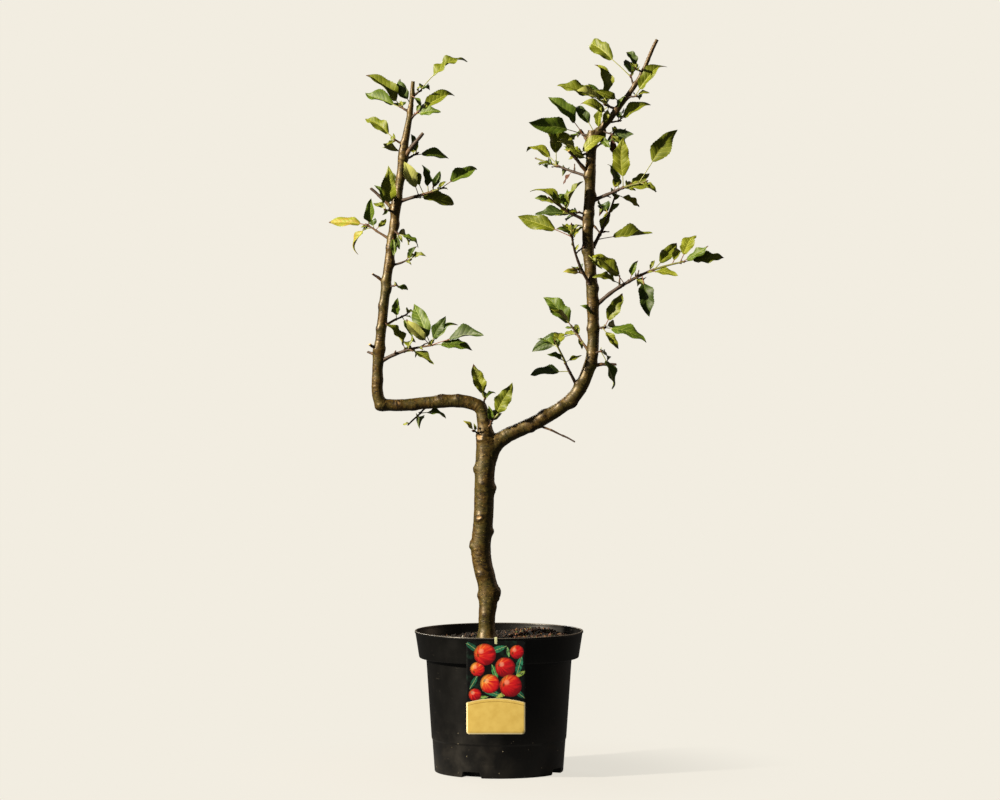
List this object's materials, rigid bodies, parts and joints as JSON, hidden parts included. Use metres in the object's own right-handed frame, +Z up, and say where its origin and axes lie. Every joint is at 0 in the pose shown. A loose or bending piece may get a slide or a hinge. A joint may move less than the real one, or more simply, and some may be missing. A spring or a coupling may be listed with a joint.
{
  "type": "potted apple espalier tree",
  "caption": "Fruit tree trained as a U-shaped espalier with leafy summer shoots, in a round black plastic nursery pot of compost with a hanging card label",
  "frame": {"origin": "centre of the pot's flat underside, on the floor", "axes": "+Z up along the trunk, +X along the trained arms to the side of the leader, -Y to the front where the label hangs"},
  "size_m": [0.6556, 0.2813, 1.2153],
  "materials": {
    "pot_plastic": "satin",
    "compost": "matte",
    "label_card": "satin",
    "bark": "matte",
    "foliage": "satin"
  },
  "bodies": {
    "root": {"pot": "pot_plastic", "soil": "compost", "label": "label_card", "trunk": "bark", "left_bough": "bark", "left_upright": "bark", "right_bough": "bark", "right_upright": "bark", "right_leader": "bark", "foliage_left_01": "foliage", "foliage_left_02": "foliage", "foliage_left_03": "foliage", "foliage_left_04": "foliage", "foliage_left_05": "foliage", "foliage_left_06": "foliage", "foliage_left_07": "foliage", "foliage_left_08": "foliage", "foliage_left_09": "foliage", "foliage_left_10": "foliage", "foliage_left_11": "foliage", "foliage_left_12": "foliage", "foliage_left_13": "foliage", "foliage_left_14": "foliage", "foliage_left_15": "foliage", "foliage_fork_01": "foliage", "foliage_fork_02": "foliage", "foliage_right_01": "foliage", "foliage_right_02": "foliage", "foliage_right_03": "foliage", "foliage_right_04": "foliage", "foliage_right_05": "foliage", "foliage_right_06": "foliage", "foliage_right_07": "foliage", "foliage_right_08": "foliage", "foliage_right_09": "foliage", "foliage_right_10": "foliage", "foliage_right_11": "foliage", "foliage_right_12": "foliage", "foliage_right_13": "foliage", "foliage_right_14": "foliage", "foliage_right_15": "foliage", "foliage_right_16": "foliage", "foliage_right_17": "foliage", "foliage_right_18": "foliage", "foliage_right_19": "foliage", "foliage_right_20": "foliage", "foliage_right_21": "foliage"}
  },
  "joints": []
}
